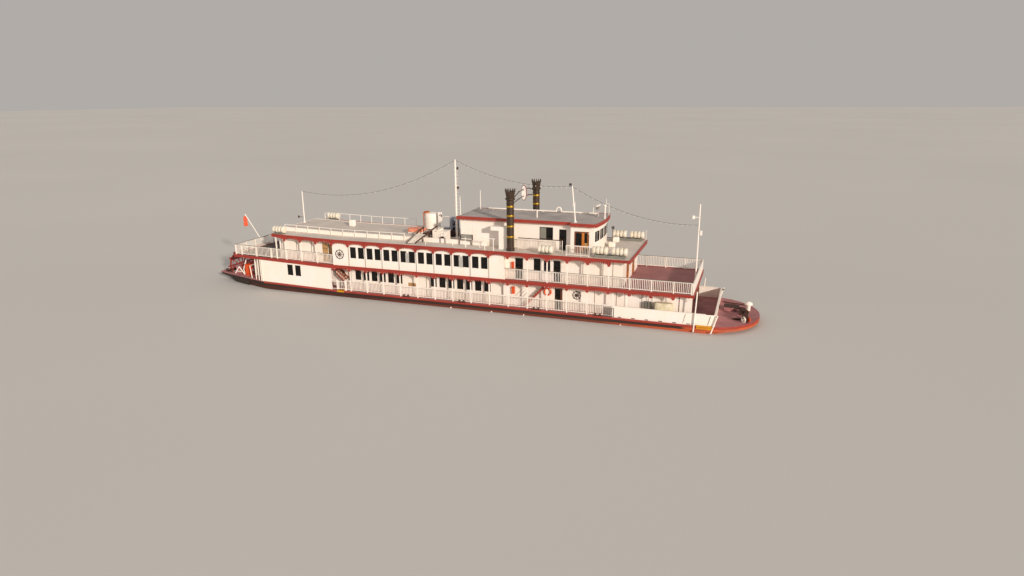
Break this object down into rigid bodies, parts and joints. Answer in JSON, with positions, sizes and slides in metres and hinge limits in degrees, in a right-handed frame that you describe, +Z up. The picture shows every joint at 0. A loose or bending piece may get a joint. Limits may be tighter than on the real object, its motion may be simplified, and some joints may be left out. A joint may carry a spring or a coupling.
{
  "type": "1:2 scale model of a stern paddle steamer",
  "caption": "Half-size model of a two-deck stern paddle passenger steamer with scalloped red fascias, twin crowned funnels, wheelhouse, working stern wheel, rudders, doors, gates and radar.",
  "frame": {"origin": "amidships on the centre line at the waterline", "axes": "+X forward along the keel, +Y to port, +Z up"},
  "size_m": [28.765, 4.87, 7.425],
  "materials": {
    "white_paint": "cream-white marine enamel, satin, with rust streaks",
    "red_paint": "brick-red enamel, weathered",
    "deck_paint": "worn pink-brown non-slip deck paint",
    "roof_paint": "grey weather-deck coating, dusty",
    "hull_paint": "orange-red hull paint, scuffed and stained at the waterline",
    "tarred_timber": "tarred timber, rough",
    "funnel_paint": "black heat-resisting enamel with brass bands",
    "brown_timber": "varnished brown timber",
    "orange_cover": "orange coated cover",
    "flag_cloth": "thin woven cloth",
    "grey_iron": "painted iron machinery"
  },
  "bodies": {
    "ship": {"hull": "hull_paint", "main_deck": "deck_paint", "wheel_guard": "tarred_timber", "rubbing_strake": "tarred_timber", "bow_bulwark": "white_paint", "windlass": "white_paint", "upper_deck": "deck_paint", "roof_deck": "roof_paint", "upper_fascia_starboard": "red_paint", "upper_fascia_port": "red_paint", "roof_fascia_starboard": "red_paint", "roof_fascia_port": "red_paint", "aft_house_side_starboard": "white_paint", "aft_house_side_port": "white_paint", "aft_house_end": "white_paint", "engine_block": "grey_iron", "saloon_walls": "white_paint", "saloon_front": "brown_timber", "aft_lounge_walls": "white_paint", "middle_lounge_side_starboard": "white_paint", "middle_lounge_side_port": "white_paint", "forward_lounge_walls": "white_paint", "main_deck_rail_starboard": "white_paint", "main_deck_rail_port": "white_paint", "upper_rail_starboard": "white_paint", "upper_rail_port": "white_paint", "upper_front_bulwark": "white_paint", "after_deck_rail": "white_paint", "raised_roof": "roof_paint", "deckhouse_walls": "white_paint", "deckhouse_roof": "roof_paint", "wheelhouse_walls": "white_paint", "wheelhouse_roof": "roof_paint", "funnel_starboard": "funnel_paint", "funnel_port": "funnel_paint", "funnel_sign": "funnel_paint", "signal_mast": "white_paint", "aft_mast": "white_paint", "wheelhouse_mast": "white_paint", "fore_mast": "white_paint", "ensign_staff": "white_paint", "ensign": "flag_cloth", "liferafts_fore_starboard": "white_paint", "liferafts_fore_port": "white_paint", "liferaft_side_starboard": "white_paint", "liferaft_aft_starboard": "white_paint", "liferaft_aft_port": "white_paint", "water_tank": "white_paint", "covered_boat": "orange_cover", "roof_lockers": "white_paint"},
    "wheel": {"paddle_wheel": "red_paint"},
    "rudder_starboard": {"rudder_starboard": "tarred_timber"},
    "rudder_port": {"rudder_port": "tarred_timber"},
    "door_starboard": {"wheelhouse_door_starboard": "brown_timber"},
    "door_port": {"wheelhouse_door_port": "brown_timber"},
    "gate_starboard": {"boarding_gate_starboard": "white_paint"},
    "gate_port": {"boarding_gate_port": "white_paint"},
    "radar": {"radar_scanner": "white_paint"}
  },
  "joints": [
    {"name": "wheel_turn", "type": "hinge", "parent": "ship", "child": "wheel", "pos_m": [-13.125, 0, 0.75], "axis": [0, 1, 0], "continuous": true},
    {"name": "rudder_starboard_turn", "type": "hinge", "parent": "ship", "child": "rudder_starboard", "pos_m": [-11.45, -0.85, -0.3], "axis": [0, 0, 1], "range_deg": [-35, 35]},
    {"name": "rudder_port_turn", "type": "hinge", "parent": "ship", "child": "rudder_port", "pos_m": [-11.45, 0.85, -0.3], "axis": [0, 0, 1], "range_deg": [-35, 35]},
    {"name": "door_starboard_swing", "type": "hinge", "parent": "ship", "child": "door_starboard", "pos_m": [6.76, -1.5225, 3.5], "axis": [0, 0, 1], "range_deg": [0, 90]},
    {"name": "door_port_swing", "type": "hinge", "parent": "ship", "child": "door_port", "pos_m": [6.76, 1.5225, 3.5], "axis": [0, 0, -1], "range_deg": [0, 90]},
    {"name": "gate_starboard_swing", "type": "hinge", "parent": "ship", "child": "gate_starboard", "pos_m": [-5.76, -2.35, 0.6], "axis": [0, 0, -1], "range_deg": [0, 90]},
    {"name": "gate_port_swing", "type": "hinge", "parent": "ship", "child": "gate_port", "pos_m": [-5.76, 2.35, 0.6], "axis": [0, 0, 1], "range_deg": [0, 90]},
    {"name": "radar_turn", "type": "hinge", "parent": "ship", "child": "radar", "pos_m": [6.7, 0.6, 4.85], "axis": [0, 0, 1], "continuous": true}
  ],
  "couplings": [
    {"joint": "rudder_port_turn", "follows": "rudder_starboard_turn", "ratio": 1}
  ]
}
